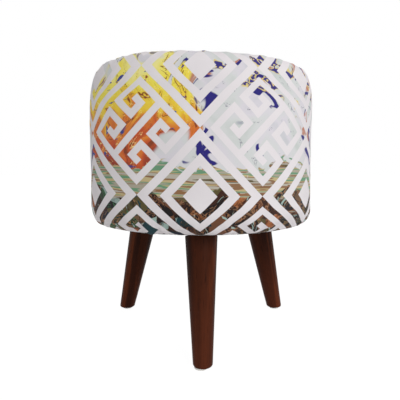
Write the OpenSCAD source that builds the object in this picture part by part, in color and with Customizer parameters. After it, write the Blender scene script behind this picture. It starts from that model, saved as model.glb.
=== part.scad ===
// Upholstered drum footstool on three splayed, turned wooden legs.
// Millimetres, +Z up. The origin is on the floor, on the axis of the seat, and the front leg points to -Y.

/* [Seat] */
// Outer diameter of the upholstered drum
seat_d = 360; // [330:1:420]
// Height of the underside of the drum above the floor
seat_bottom = 182; // [150:1:230]
// Height of the side panel, from the underside to the top seam
side_h = 239; // [190:1:290]
// Rise of the crowned top above its seam
crown_h = 17; // [8:1:28]
// How far in from the side the lower edge rounds off, where the cover turns under
rim_w = 16; // [8:1:16]
// Height over which the lower edge rounds off
rim_h = 29; // [8:1:40]
// How far the shoulder draws in between the side and the top seam
shoulder_w = 18; // [10:1:30]
// Height over which the shoulder draws in
shoulder_h = 60; // [30:1:80]

/* [Cover] */
// Thickness of the printed fabric with its backing
cover_t = 1.2; // [0.8:0.1:2]
// Width of the two allowances that are turned inside along the top seam
seam_allowance = 8; // [5:0.5:12]
// Width of the flat hem that is stapled under the base board
hem_w = 9; // [8:0.5:16]
// Width of the sewn groove down the back of the side panel
back_seam_w = 1; // [0.6:0.1:2]
// Depth of that groove
back_seam_depth = 0.5; // [0.2:0.1:0.6]
// Thickness of the black dust cover
dust_t = 0.6; // [0.4:0.1:1]
// How far the dust cover laps over the hem
dust_lap = 6; // [3:0.5:8]

/* [Padding] */
// Thickness of the soft wadding right under the cover
wadding_t = 4; // [2:0.5:6]
// Thickness of the foam wrapped round the side
side_foam_t = 8; // [6:1:20]
// Thickness of the top foam and its wadding at the seam
top_foam_t = 46; // [30:1:70]

/* [Carcass] */
// Thickness of the plywood seat board and base board
board_t = 15; // [12:1:18]
// Thickness of the hardboard wrapped round the carcass
wrap_t = 3; // [2:0.5:5]
// Gap between the two ends of that wrap, which meet on a post
wrap_gap = 2; // [1:0.5:6]
// Clearance between the lower edge of the wrap and the turned-under cover
wrap_clear = 0.5; // [0.2:0.1:2]
// Number of upright posts between the boards
post_count = 6; // [3:1:12]
// Width of a post, along the rim
post_w = 40; // [30:1:50]
// Thickness of a post, towards the centre
post_t = 20; // [18:1:28]
// Shank diameter of the screws that hold the posts
post_screw_d = 4; // [3.5:0.5:5]
// Length of those screws
post_screw_l = 40; // [30:1:50]

/* [Legs] */
// Angle of a leg away from the vertical, in degrees
leg_tilt = 14; // [4:0.5:18]
// Diameter of a leg at its top
leg_top_d = 46.5; // [36:0.5:56]
// Diameter of a leg at the floor
leg_foot_d = 26; // [21:0.5:36]
// Rounding of the top and foot edges of a leg
leg_round = 3; // [1:0.5:4]
// Gap between the top edge of a leg and its plate
leg_clear = 1; // [0.5:0.1:3]

/* [Leg plates] */
// Gap between the corner of a leg plate and the dust cover's step over the hem
plate_gap = 4; // [1:0.5:30]
// Distance from a screw hole to the edges of its plate
plate_edge = 6.5; // [5:0.5:10]
// Corner radius of the plate
plate_corner_r = 6; // [2:0.5:10]
// Sheet thickness of the plate
plate_t = 2; // [1.5:0.1:3]
// How far the slanted cup pressed into the plate stays inside the top of the leg
cup_inset = 6.2; // [4:0.1:9]
// Shank diameter of the plate screws
plate_screw_d = 4; // [3:0.5:5]
// Length of the plate screws
plate_screw_l = 15; // [12:1:16]

/* [Leg bolts] */
// Diameter of the hanger bolt
bolt_d = 8; // [6:1:8]
// Length of its wood thread, inside the leg
bolt_wood_l = 26; // [18:1:35]
// Length of its machine thread, above the leg
bolt_machine_l = 16; // [12:1:20]
// Width across the flats of the weld nut
nut_af = 13; // [11:0.5:15]
// Height of the weld nut
nut_h = 6.5; // [4:0.5:8]

/* [Glides] */
// Diameter of the nylon glide under a foot
glide_d = 18; // [12:1:22]
// Height of the glide
glide_t = 2.5; // [2:0.1:5]
// Chamfer round the lower edge of the glide
glide_chamfer = 0.6; // [0.2:0.1:1]
// Shank diameter of the nail that holds it
glide_nail_d = 2; // [1.6:0.1:2.4]
// Length of that nail
glide_nail_l = 14; // [10:1:20]

/* [Clearances] */
// Radial clearance between a screw, bolt or nail and its hole
hole_clear = 0.05; // [0.01:0.01:0.2]
// Gap between the head of a plate screw and the top of the leg
head_gap = 1.6; // [0.6:0.1:4]
// Clearance round the weld nut and above the bolt, in the base board
nut_hole_clear = 2.5; // [1.5:0.1:4]

/* [Hidden] */
$fn = 96;
arc_steps = 16;
// A hair that closes a joint, and how far a cutting shape runs past what it cuts
eps = 0.01;
over = 1;

// The cover, seen as radii and heights of its outer surface
seat_r = seat_d / 2;
seam_r = seat_r - shoulder_w;
seam_z = seat_bottom + side_h;
rim_inner_r = seat_r - rim_w;
hem_r = rim_inner_r - hem_w;

// The carcass, built inwards and upwards from the cover
foam_inset = cover_t + wadding_t;
carcass_r = seat_r - foam_inset - side_foam_t;
board_r = carcass_r - wrap_t;
base_z = seat_bottom + cover_t;
seat_board_top = seam_z - cover_t - top_foam_t;
seat_board_z = seat_board_top - board_t;
post_z = base_z + board_t;
post_h = seat_board_z - post_z;
post_outer_x = sqrt(pow(board_r, 2) - pow(post_w / 2, 2));
post_mid_x = post_outer_x - post_t / 2;
post_angles = [for (i = [0 : post_count - 1]) 90 + (i + 0.5) * 360 / post_count];
// The wrap stops above the inside of the rounded lower edge
wrap_over_rim = max(0, carcass_r - rim_inner_r) / (rim_w - cover_t);
wrap_lift = (rim_h - cover_t) * (1 - sqrt(max(0, 1 - pow(wrap_over_rim, 2))));
wrap_z = base_z + wrap_lift + wrap_clear;

// Screw and nail heads
screw_head_ratio = 1.8;
pan_crown_ratio = 0.6;
plate_head_r = plate_screw_d * screw_head_ratio / 2;
plate_head_h = 2.6;
nail_head_d = 4.6;
nail_head_h = 0.8;
point_share = 1.5;

// The leg plates hang under the dust cover, with their screws just outside the tops of the legs
dust_ramp = 1.5;
plate_top = base_z - dust_t;
plate_bottom = plate_top - plate_t;
plate_screw_pitch = sqrt(2) * (leg_top_d / 2 + head_gap + plate_head_r);
plate_half = plate_screw_pitch / 2 + plate_edge;
plate_arc_x = plate_half - plate_corner_r;
plate_reach = hem_r - dust_ramp - plate_gap;
plate_x = sqrt(pow(plate_reach - plate_corner_r, 2) - pow(plate_arc_x, 2)) - plate_arc_x;
cup_d = leg_top_d - 2 * cup_inset;

// A leg is drawn along its own axis: s runs down it from where it crosses the underside of the drum
leg_names = ["front", "rear_right", "rear_left"];
leg_angles = [270, 30, 150];
leg_s_top = (leg_top_d / 2 * sin(leg_tilt) + leg_clear + seat_bottom - plate_bottom) / cos(leg_tilt);
leg_s_floor = seat_bottom / cos(leg_tilt);
leg_circle_r = plate_x - leg_s_top * sin(leg_tilt);
leg_taper = (leg_top_d - leg_foot_d) / 2 / (leg_s_floor - leg_s_top);
foot_r = leg_foot_d / 2;
foot_x = leg_circle_r + (seat_bottom - glide_t) * tan(leg_tilt);

// Points along a quarter of an ellipse, from angle a0 to a1
function arc(cx, cz, rx, rz, a0, a1) =
    [for (i = [0 : arc_steps])
        let (a = a0 + (a1 - a0) * i / arc_steps) [cx + rx * cos(a), cz + rz * sin(a)]];

function reversed(points) = [for (i = [len(points) - 1 : -1 : 0]) points[i]];

// Outline of the side panel, from the hem to the top seam, moved inwards by t
function side_outline(t) = concat(
    [[hem_r, seat_bottom + t]],
    arc(rim_inner_r, seat_bottom + rim_h, rim_w - t, rim_h - t, -90, 0),
    arc(seam_r, seam_z - shoulder_h, shoulder_w - t, shoulder_h - t, 0, 90));

// Outline of the crowned top, from the axis to just inside the top seam, moved down by t
function crown_outline(t) =
    [for (i = [0 : arc_steps]) let (r = (seam_r - cover_t) * i / arc_steps)
        [r, seam_z + crown_h * (1 - pow(r / seam_r, 2)) - t]];

// Half section of what lies inside the cover, down to t under its outer surface
module filling_section(t) {
    polygon(concat([[0, base_z]], side_outline(t), reversed(crown_outline(t))));
}

// Half section of the carcass with its boards, posts and wrap
module carcass_section() {
    translate([0, seat_bottom]) square([carcass_r, seat_board_top - seat_bottom]);
}

// Half section of the slot that the two turned-in seam allowances fill
module seam_slot_section() {
    translate([seam_r - cover_t, seam_z - seam_allowance]) square([2 * cover_t, seam_allowance]);
}

module cover_side_panel() {
    color("gainsboro")
    difference() {
        rotate_extrude() union() {
            polygon(concat(side_outline(0), reversed(side_outline(cover_t))));
            translate([seam_r, seam_z - seam_allowance])
                square([cover_t, seam_allowance - cover_t / 2]);
        }
        // the closing seam, sewn down the back
        rotate([0, 0, 90 - back_seam_w / seat_r * 90 / PI])
            rotate_extrude(angle = back_seam_w / seat_r * 180 / PI)
                back_seam_section();
    }
}

// Section of the skin that the back seam draws in, along the straight part of the side
module back_seam_section() {
    translate([seat_r - back_seam_depth, seat_bottom + rim_h])
        square([back_seam_depth + eps, side_h - rim_h - shoulder_h]);
}

module cover_top_panel() {
    color("whitesmoke")
    rotate_extrude() polygon(concat(
        crown_outline(0),
        [[seam_r, seam_z], [seam_r, seam_z - seam_allowance], [seam_r - cover_t, seam_z - seam_allowance]],
        reversed(crown_outline(cover_t))));
}

// Black cloth: flat against the base board, stepping down to lap under the hem
module dust_cover() {
    ramp_r = hem_r - dust_ramp;
    color("dimgray")
    difference() {
        rotate_extrude() polygon([
            [0, base_z - dust_t], [ramp_r, base_z - dust_t], [hem_r, seat_bottom - dust_t],
            [hem_r + dust_lap, seat_bottom - dust_t], [hem_r + dust_lap, seat_bottom],
            [hem_r, seat_bottom], [hem_r - eps, base_z], [0, base_z]]);
        each_leg() plate_fastener_holes();
    }
}

// Layer of fibre under the cover, over the crown and down the side to the base board
module wadding() {
    color("white")
    rotate_extrude() difference() {
        filling_section(cover_t);
        filling_section(foam_inset);
        carcass_section();
        seam_slot_section();
    }
}

module top_foam() {
    color("khaki")
    rotate_extrude() difference() {
        intersection() {
            filling_section(foam_inset);
            translate([0, seat_board_top]) square([seat_r, side_h]);
        }
        seam_slot_section();
    }
}

module side_foam() {
    color("lemonchiffon")
    rotate_extrude() intersection() {
        filling_section(foam_inset);
        translate([carcass_r, base_z]) square([seat_r, seat_board_top - base_z]);
    }
}

// Hardboard strip bent round the boards and nailed to the posts
module carcass_wrap() {
    color("peru")
    difference() {
        translate([0, 0, wrap_z]) cylinder(r = carcass_r, h = seat_board_top - wrap_z);
        translate([0, 0, wrap_z - over]) cylinder(r = board_r, h = seat_board_top - wrap_z + 2 * over);
        rotate([0, 0, post_angles[0]])
            translate([0, -wrap_gap / 2, wrap_z - over]) cube([seat_r, wrap_gap, side_h]);
    }
}

module seat_board() {
    color("burlywood")
    difference() {
        translate([0, 0, seat_board_z]) cylinder(r = board_r, h = board_t);
        each_post() seat_board_screw(hole_clear);
    }
}

module base_board() {
    color("burlywood")
    difference() {
        translate([0, 0, base_z]) cylinder(r = board_r, h = board_t);
        each_post() base_board_screw(hole_clear);
        each_leg() plate_fastener_holes();
    }
}

module each_post() {
    for (a = post_angles) rotate([0, 0, a]) children();
}

module each_leg() {
    for (a = leg_angles) rotate([0, 0, a]) children();
}

module post(i) {
    color("tan")
    rotate([0, 0, post_angles[i]]) difference() {
        translate([post_outer_x - post_t, -post_w / 2, post_z]) cube([post_t, post_w, post_h]);
        seat_board_screw(hole_clear);
        base_board_screw(hole_clear);
    }
}

// Countersunk wood screw, head at z = 0 and pointing down; grow widens it into its hole
module countersunk_screw(d, l, grow = 0) {
    head_d = d * screw_head_ratio;
    rotate_extrude() polygon([
        [0, 0], [head_d / 2 + grow, 0], [d / 2 + grow, -(head_d - d) / 2],
        [d / 2 + grow, -l + point_share * d], [0, -l - grow]]);
}

module seat_board_screw(grow = 0) {
    translate([post_mid_x, 0, seat_board_top]) countersunk_screw(post_screw_d, post_screw_l, grow);
}

module base_board_screw(grow = 0) {
    translate([post_mid_x, 0, base_z]) rotate([180, 0, 0])
        countersunk_screw(post_screw_d, post_screw_l, grow);
}

module seat_board_screws() {
    color("silver") each_post() seat_board_screw();
}

module base_board_screws() {
    color("silver") each_post() base_board_screw();
}

// Places what follows on the axis of a leg that stands at angle 0: z = -s
module on_leg_axis() {
    translate([leg_circle_r, 0, seat_bottom]) rotate([0, -leg_tilt, 0]) children();
}

// Everything below height z
module below(z) {
    translate([-seat_d, -seat_d, z - seat_d]) cube([2 * seat_d, 2 * seat_d, seat_d]);
}

// Turned leg: a straight taper with softened edges, its foot cut level with the floor
module leg(i) {
    top_r = leg_top_d / 2;
    round_r = top_r - leg_round * leg_taper;
    low_s = leg_s_floor + leg_foot_d;
    color("saddlebrown")
    rotate([0, 0, leg_angles[i]]) difference() {
        intersection() {
            on_leg_axis() rotate_extrude() polygon(concat(
                [[0, -leg_s_top]],
                reversed(arc(round_r - leg_round, -leg_s_top - leg_round, leg_round, leg_round, 0, 90)),
                [[foot_r - (low_s - leg_s_floor) * leg_taper, -low_s], [0, -low_s]]));
            foot_envelope();
        }
        on_leg_axis() translate([0, 0, -leg_s_top - bolt_wood_l])
            bolt_shape(bolt_wood_l + over, hole_clear);
        glide_nail_shape(hole_clear);
    }
}

// Widening cone on a rounded level foot, which trims the lower end of a leg
module foot_envelope() {
    reach = leg_s_floor;
    middle_x = foot_x - leg_round / 2 * tan(leg_tilt);
    translate([middle_x, 0, glide_t]) rotate_extrude() polygon(concat(
        [[0, 0]],
        arc(foot_r - leg_round, leg_round, leg_round, leg_round, -90, 0),
        [[foot_r + reach, leg_round + reach], [0, leg_round + reach]]));
}

// Pressed steel plate: a flat flange with a slanted cup that sets the tilt of the leg
module leg_plate(i) {
    color("gray")
    rotate([0, 0, leg_angles[i]]) difference() {
        union() {
            translate([plate_x, 0, plate_bottom]) rounded_square_plate(plate_half, plate_corner_r, plate_t);
            intersection() {
                on_leg_axis() translate([0, 0, -leg_s_top]) cylinder(d = cup_d, h = leg_s_top + cup_d);
                below(plate_top);
            }
        }
        on_leg_axis() translate([0, 0, -leg_s_top + plate_t])
            cylinder(d = cup_d - 2 * plate_t, h = leg_s_top + cup_d);
        on_leg_axis() translate([0, 0, -leg_s_top - over])
            cylinder(d = bolt_d + 2 * hole_clear, h = plate_t + 2 * over);
        plate_screw_places() cylinder(d = plate_screw_d + 2 * hole_clear, h = 3 * plate_t, center = true);
    }
}

// Square plate given by half its width, with corners of radius r
module rounded_square_plate(half, r, t) {
    translate([-half + r, -half, 0]) cube([2 * (half - r), 2 * half, t]);
    translate([-half, -half + r, 0]) cube([2 * half, 2 * (half - r), t]);
    for (x = [-1, 1]) for (y = [-1, 1])
        translate([x * (half - r), y * (half - r), 0]) cylinder(r = r, h = t);
}

// Places what follows on the underside of the flange, at its four screws
module plate_screw_places() {
    for (x = [-1, 1]) for (y = [-1, 1])
        translate([plate_x + x * plate_screw_pitch / 2, y * plate_screw_pitch / 2, plate_bottom])
            children();
}

// Pan-head screw pointing up, its head below z = 0
module plate_screw(grow = 0) {
    crown_r = plate_head_r * pan_crown_ratio;
    shank_r = plate_screw_d / 2 + grow;
    rotate_extrude() polygon([
        [0, -plate_head_h], [crown_r, -plate_head_h], [plate_head_r, -plate_head_h / 2], [plate_head_r, 0],
        [shank_r, 0], [shank_r, plate_screw_l - point_share * plate_screw_d], [0, plate_screw_l + grow]]);
}

module leg_plate_screws(i) {
    color("lightgray") rotate([0, 0, leg_angles[i]]) plate_screw_places() plate_screw();
}

// Holes for the four screws, the weld nut and the bolt end, through the dust cover and into the board
module plate_fastener_holes() {
    bolt_top_s = leg_s_top - bolt_machine_l;
    bolt_top_z = seat_bottom - bolt_top_s * cos(leg_tilt) + bolt_d / 2 * sin(leg_tilt);
    hole_top = bolt_top_z + nut_hole_clear;
    hole_x = leg_circle_r - (hole_top - seat_bottom) / 2 * tan(leg_tilt);
    plate_screw_places() plate_screw(hole_clear);
    translate([hole_x, 0, plate_top - over])
        cylinder(d = nut_af / cos(30) + 2 * nut_hole_clear, h = hole_top - plate_top + over);
}

module weld_nut(i) {
    color("silver")
    rotate([0, 0, leg_angles[i]]) on_leg_axis() translate([0, 0, -leg_s_top + plate_t]) difference() {
        cylinder(d = nut_af / cos(30), h = nut_h, $fn = 6);
        translate([0, 0, -over]) cylinder(d = bolt_d + 2 * hole_clear, h = nut_h + 2 * over);
    }
}

// Bolt standing on its point, with its shank running up to height l
module bolt_shape(l, grow = 0) {
    rotate_extrude() polygon([
        [0, -grow], [bolt_d / 2 + grow, bolt_d], [bolt_d / 2 + grow, l], [0, l]]);
}

// Hanger bolt: wood thread in the leg, machine thread through the plate and the nut
module hanger_bolt(i) {
    color("silver")
    rotate([0, 0, leg_angles[i]]) on_leg_axis() translate([0, 0, -leg_s_top - bolt_wood_l])
        bolt_shape(bolt_wood_l + bolt_machine_l);
}

// Nylon disc with a chamfered edge and a sunk seat for its nail
module glide(i) {
    color("ivory")
    rotate([0, 0, leg_angles[i]]) difference() {
        translate([foot_x, 0, 0]) rotate_extrude() polygon([
            [0, 0], [glide_d / 2 - glide_chamfer, 0], [glide_d / 2, glide_chamfer],
            [glide_d / 2, glide_t], [0, glide_t]]);
        glide_nail_shape(hole_clear);
        translate([foot_x, 0, -over])
            cylinder(d = nail_head_d + 2 * hole_clear, h = over + nail_seat_z());
    }
}

function nail_seat_z() = glide_t / 2 + nail_head_h / 2;

// Nail pointing up into the foot, its head sunk in the glide
module glide_nail_shape(grow = 0) {
    translate([foot_x, 0, nail_seat_z()]) rotate_extrude() polygon([
        [0, -nail_head_h], [nail_head_d / 2, -nail_head_h], [nail_head_d / 2, 0],
        [glide_nail_d / 2 + grow, 0], [glide_nail_d / 2 + grow, glide_nail_l - point_share * glide_nail_d],
        [0, glide_nail_l + grow]]);
}

module glide_nail(i) {
    color("silver") rotate([0, 0, leg_angles[i]]) glide_nail_shape();
}

cover_side_panel();
cover_top_panel();
dust_cover();
wadding();
top_foam();
side_foam();
carcass_wrap();
seat_board();
base_board();
for (i = [1 : post_count])
    post(i - 1);
seat_board_screws();
base_board_screws();
for (i = [0 : len(leg_names) - 1]) {
    leg(i);
    leg_plate(i);
    leg_plate_screws(i);
    weld_nut(i);
    hanger_bolt(i);
    glide(i);
    glide_nail(i);
}
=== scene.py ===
# Upholstered drum footstool on three turned legs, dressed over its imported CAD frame.
# Metres, +Z up, origin on the floor under the middle of the seat, front towards -Y.
import math

import bmesh
import bpy
import numpy as np
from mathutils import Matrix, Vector


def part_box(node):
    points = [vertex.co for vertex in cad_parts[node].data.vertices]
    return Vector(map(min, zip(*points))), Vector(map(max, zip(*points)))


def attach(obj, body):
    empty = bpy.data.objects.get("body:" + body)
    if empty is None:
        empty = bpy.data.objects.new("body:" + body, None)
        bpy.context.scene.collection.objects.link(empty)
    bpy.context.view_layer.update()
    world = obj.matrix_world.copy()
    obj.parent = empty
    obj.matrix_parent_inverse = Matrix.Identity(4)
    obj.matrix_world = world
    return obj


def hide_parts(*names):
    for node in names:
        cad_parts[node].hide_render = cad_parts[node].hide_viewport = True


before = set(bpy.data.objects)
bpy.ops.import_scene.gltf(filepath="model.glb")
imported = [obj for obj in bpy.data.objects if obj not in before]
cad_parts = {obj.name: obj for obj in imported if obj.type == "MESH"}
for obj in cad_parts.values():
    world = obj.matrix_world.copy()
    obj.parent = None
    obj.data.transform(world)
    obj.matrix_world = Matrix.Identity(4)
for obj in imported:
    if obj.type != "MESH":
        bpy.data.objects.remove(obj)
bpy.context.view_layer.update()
scene = bpy.context.scene


# ------------------------------------------------------------
# Boards and posts. Two round boards of birch plywood, held apart by six upright pine posts that
# are screwed through the boards, with a strip of hardboard bent round them and nailed on.

TAU = math.tau


class Socket:
    """A socket of a node tree. Arithmetic on it adds Math nodes, and node() adds any other node."""

    def __init__(self, tree, socket=None):
        self.tree, self.socket = tree, socket

    def node(self, kind, values=None, settings=None, out=0):
        """Adds a node: its settings come first, then the values or links of its sockets."""
        made = self.tree.nodes.new(kind)
        for name, value in (settings or {}).items():
            setattr(made, name, value)
        for key, value in (values or {}).items():
            for one in value if isinstance(value, list) else [value]:
                if isinstance(one, Socket):
                    self.tree.links.new(one.socket, made.inputs[key])
                else:
                    made.inputs[key].default_value = one
        return Socket(self.tree, made.outputs[out])

    def source(self, kind, out=0, **values):
        """A Geometry node that starts a branch of its own."""
        return self.node(f"GeometryNode{kind}", spaced(values), out=out)

    def into(self, kind, settings=None, **values):
        """A Geometry node whose first input is this socket."""
        return self.node(f"GeometryNode{kind}", {0: self, **spaced(values)}, settings)

    def math(self, operation, *others):
        return self.node("ShaderNodeMath", dict(enumerate((self, *others))), {"operation": operation})

    def __add__(self, other):
        return self.math("ADD", other)

    def __sub__(self, other):
        return self.math("SUBTRACT", other)

    def __rsub__(self, other):
        return self.node("ShaderNodeMath", {0: other, 1: self}, {"operation": "SUBTRACT"})

    def __mul__(self, other):
        return self.math("MULTIPLY", other)

    def __truediv__(self, other):
        return self.math("DIVIDE", other)

    def __gt__(self, other):
        return self.math("GREATER_THAN", other)

    __radd__, __rmul__ = __add__, __mul__

    def vector(self, operation, *others):
        values = dict(enumerate((self, *others)))
        return self.node("ShaderNodeVectorMath", values, {"operation": operation})

    def axis(self, name):
        return self.node("ShaderNodeSeparateXYZ", {0: self}, out=name)

    def rise(self, low, high):
        """0 below low, 1 above high, and smooth between them."""
        return self.node("ShaderNodeMapRange", {"Value": self, "From Min": low, "From Max": high},
                         {"interpolation_type": "SMOOTHSTEP"})

    def colour(self, first, second):
        """The first colour where this socket is 0, and the second where it is 1."""
        first, second = (one if isinstance(one, Socket) else srgb(*one) for one in (first, second))
        return self.node("ShaderNodeMix", {0: self, 6: first, 7: second}, {"data_type": "RGBA"}, 2)

    def noise(self, scale, detail=3.0, distortion=0.0, stretch=None, out=0):
        at = self.vector("MULTIPLY", stretch) if stretch else self
        return at.node("ShaderNodeTexNoise", {"Vector": at, "Scale": scale, "Detail": detail,
                                              "Distortion": distortion}, out=out)

    def ramp(self, stops, steps="LINEAR"):
        """The colours of the stops, blended between them or, with CONSTANT, in plain steps."""
        made = self.node("ShaderNodeValToRGB", {0: self})
        scale = made.socket.node.color_ramp
        scale.interpolation = steps
        while len(scale.elements) < len(stops):
            scale.elements.new(1.0)
        for element, (place, colour) in zip(scale.elements, stops):
            element.position, element.color = place, srgb(*colour)
        return made

    def bump(self, depth):
        return self.node("ShaderNodeBump", {"Height": self, "Distance": depth}, out="Normal")


def spaced(values):
    """Sockets by name, with spaces where the keywords have underscores."""
    return {name.replace("_", " "): value for name, value in values.items()}


def srgb(red, green, blue):
    """A colour written as it looks on a screen, from 0 to 255, in linear light."""
    def linear(value):
        value /= 255
        return value / 12.92 if value <= 0.04045 else ((value + 0.055) / 1.055) ** 2.4
    return linear(red), linear(green), linear(blue), 1.0


OBJECT_PLACE = ("ShaderNodeTexCoord", {}, "Object")


def finish(name, pattern, where=OBJECT_PLACE, **constants):
    """A material whose pattern(place) gives the sockets that vary over the surface."""
    material = bpy.data.materials.new(name)
    material.use_nodes = True
    tree = material.node_tree
    inputs = tree.nodes["Principled BSDF"].inputs
    for socket, value in spaced(constants).items():
        inputs[socket].default_value = value
    kind, settings, out = where
    for socket, value in pattern(Socket(tree).node(kind, {}, settings, out)).items():
        tree.links.new(value.socket, inputs[socket])
    return material


def dress(material, slot, *names):
    """Gives CAD nodes their finish."""
    for name in names:
        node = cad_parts[name]
        if not node.material_slots:
            node.data.materials.append(material)
        for place in node.material_slots:
            place.material = material


def timber(light, dark, stretch, scale):
    """Streaks along the grain with short dark pores; stretch is small along the grain."""
    def pattern(place):
        streak = place.noise(scale, 4.0, 0.4, stretch)
        pores = place.noise(scale * 7, 2.0, 0.0, stretch).rise(0.62, 0.72)
        tone = (streak.rise(0.3, 0.7) * 0.8 + pores * 0.35).math("MINIMUM", 1.0)
        return {"Base Color": tone.colour(light, dark), "Roughness": 0.55 + 0.2 * streak,
                "Normal": (0 - pores).bump(0.0002)}
    return pattern


def plies(place):
    """Plywood: grain on the faces, and thin layers of turning grain on the edge."""
    grain = place.noise(12.0, 4.0, 0.5, (1.0, 14.0, 1.0))
    layer = (place.axis("Z") * (TAU / 0.003)).math("SINE").rise(-0.2, 0.2)
    face = grain.rise(0.3, 0.7).colour((214, 184, 138), (188, 152, 104))
    return {"Base Color": (layer * 0.25).colour(face, (150, 112, 70)),
            "Roughness": 0.6 + 0.15 * grain, "Normal": grain.bump(0.0003)}


def pressed_fibre(place):
    """Hardboard: matted short fibres, smoother and darker where they are pressed."""
    fibre = place.noise(420.0, 4.0, 1.0)
    cloud = place.noise(30.0, 2.0)
    return {"Base Color": (fibre * 0.6 + cloud * 0.4).colour((92, 62, 40), (140, 100, 66)),
            "Roughness": 0.6 + 0.2 * fibre, "Normal": fibre.bump(0.0002)}


def zinc(place):
    """Bright zinc plating: faint rolled streaks and dull patches."""
    patch = place.noise(160.0, 3.0)
    streak = place.noise(900.0, 2.0, 0.0, (1.0, 0.15, 1.0))
    return {"Base Color": patch.colour((176, 176, 172), (206, 206, 204)),
            "Roughness": 0.24 + 0.18 * patch + 0.1 * streak, "Normal": streak.bump(0.00004)}


plywood = finish("birch_plywood", plies)
pine = finish("pine", timber((226, 190, 134), (176, 126, 76), (1.0, 1.0, 0.06), 70.0))
hardboard = finish("hardboard", pressed_fibre)
fastener_steel = finish("zinc_plated_fasteners", zinc, Metallic=1.0)

LEG_TURNS = {"front": 270, "rear_right": 30, "rear_left": 150}

dress(plywood, "plywood", "seat_board", "base_board")
dress(pine, "pine", *(f"post_{i}" for i in range(1, 7)))
dress(hardboard, "hardboard", "carcass_wrap")
dress(fastener_steel, "fastener_steel", "seat_board_screws", "base_board_screws")

# ------------------------------------------------------------
# Foams. A thick crowned disc of upholstery foam on the seat board and a thin band of it glued
# round the side. Both are cut by hand, so they are a little uneven.

side_low, side_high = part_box("cover_side_panel")
SEAT_R, UNDERSIDE, SEAM_Z = side_high.x, side_low.z, side_high.z
CROWN_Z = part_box("cover_top_panel")[1].z
# The rim and the shoulder are quarter ellipses, and the hem is what lies flat under the base
RIM_W, RIM_H, SHOULDER_W, SHOULDER_H, HEM_W = 0.016, 0.029, 0.018, 0.060, 0.009
SEAM_R, HEM_R = SEAT_R - SHOULDER_W, SEAT_R - (RIM_W + HEM_W)
# How far the padding has settled to the right, and its fuller places: turn, width and height
SETTLED = 0.0024
FULLER = ((-0.55, 0.30, 0.0012), (0.05, 0.28, -0.0012), (1.30, 0.45, 0.0014))


def sewn_grid(name, points, wrap=True, loop=False, print_at=None):
    """A smooth mesh from rows of points. A row that shrinks to a point becomes a pole; wrap joins
    the last column to the first, loop the last row to the first; print_at is a UV for each point."""
    rows, columns = points.shape[:2]
    corners, prints, index = [], [], np.zeros((rows, columns), int)
    for row in range(rows):
        pole = np.ptp(points[row], axis=0).max() < 1e-7
        for column in range(columns):
            if not (pole and column):
                corners.append(points[row, column])
                prints.append((0, 0) if print_at is None else print_at[row, column])
            index[row, column] = len(corners) - 1
    faces = []
    for row in range(rows if loop else rows - 1):
        above = (row + 1) % rows
        for column in range(columns if wrap else columns - 1):
            beside = (column + 1) % columns
            face = (index[row, column], index[row, beside], index[above, beside], index[above, column])
            face = [int(i) for i in dict.fromkeys(face)]
            if len(face) > 2:
                faces.append(face)
    mesh = bpy.data.meshes.new(name)
    mesh.from_pydata([tuple(map(float, p)) for p in corners], [], faces)
    if print_at is not None:
        layer = mesh.uv_layers.new(name="print")
        order = np.empty(len(mesh.loops), int)
        mesh.loops.foreach_get("vertex_index", order)
        layer.uv.foreach_set("vector", np.array(prints, np.float32)[order].ravel())
    mesh.polygons.foreach_set("use_smooth", [True] * len(mesh.polygons))
    made = bpy.data.objects.new(name, mesh)
    scene.collection.objects.link(made)
    return made


def facing_out(piece):
    """Turns the faces of a closed mesh outwards."""
    shell = bmesh.new()
    shell.from_mesh(piece.data)
    bmesh.ops.recalc_face_normals(shell, faces=shell.faces)
    shell.to_mesh(piece.data)
    shell.free()
    return piece


def ripples(turn, along, seed, low, high, count=14):
    """A smooth random field of about -1 to 1 that closes round the drum: low to high waves a turn."""
    draw = np.random.default_rng(seed)
    total = 0.0
    for _ in range(count):
        waves, phase, slope = int(draw.integers(low, high + 1)), draw.uniform(0, TAU), draw.normal()
        total = total + np.cos(waves * turn + phase + slope * waves * along / SEAT_R)
    return total / math.sqrt(count)


def turned(outline, turn):
    """Points of a body of revolution: one row for each (radius, height), one column for each turn."""
    radius, height = np.array(outline, float).T[:, :, None]
    return np.stack([radius * np.sin(turn), -radius * np.cos(turn), height + 0 * turn], axis=2)


def turns(count):
    """Even turns round the drum, from the back by the left, the front and the right."""
    return np.linspace(-math.pi, math.pi, count, endpoint=False)


def eased(x, low, high):
    """0 below low, 1 above high, and smooth between them."""
    x = np.clip((x - low) / (high - low), 0, 1)
    return x * x * (3 - 2 * x)


def hump(x, at, width):
    """1 at a place, and smoothly less on both sides of it."""
    return np.exp(-((x - at) / width) ** 2)


def settled(points):
    """The padding has settled a little to the right, and its shoulder is fuller at some turns than
    at others. What lies on it goes with it."""
    turn = np.arctan2(points[..., 0], -points[..., 1])
    out = np.linalg.norm(points[..., :2], axis=-1) / SEAM_R
    rise = sum(height * hump(turn, at, width) for at, width, height in FULLER) * out ** 2
    rise = rise - SETTLED * points[..., 0] / SEAM_R
    points[..., 2] += rise * eased(points[..., 2], pad_low.z, SEAM_Z)
    return points


def quarter(centre, radii, start, end, count=10):
    """Points on part of an ellipse, from the start angle to the end angle in degrees."""
    return [(centre[0] + radii[0] * math.cos(math.radians(a)),
             centre[1] + radii[1] * math.sin(math.radians(a))) for a in np.linspace(start, end, count)]


def walked(outline, step):
    """The outline in steps of step(place, length): its points, and their places along it."""
    outline = np.array(outline, float)
    gaps = np.linalg.norm(np.diff(outline, axis=0), axis=1)
    places = np.concatenate([[0], np.cumsum(gaps)])
    stops = [0.0]
    while stops[-1] < places[-1]:
        stops.append(stops[-1] + step(stops[-1], places[-1]))
    stops = np.array(stops) * places[-1] / stops[-1]
    return np.stack([np.interp(stops, places, axis) for axis in outline.T], 1), stops


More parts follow.
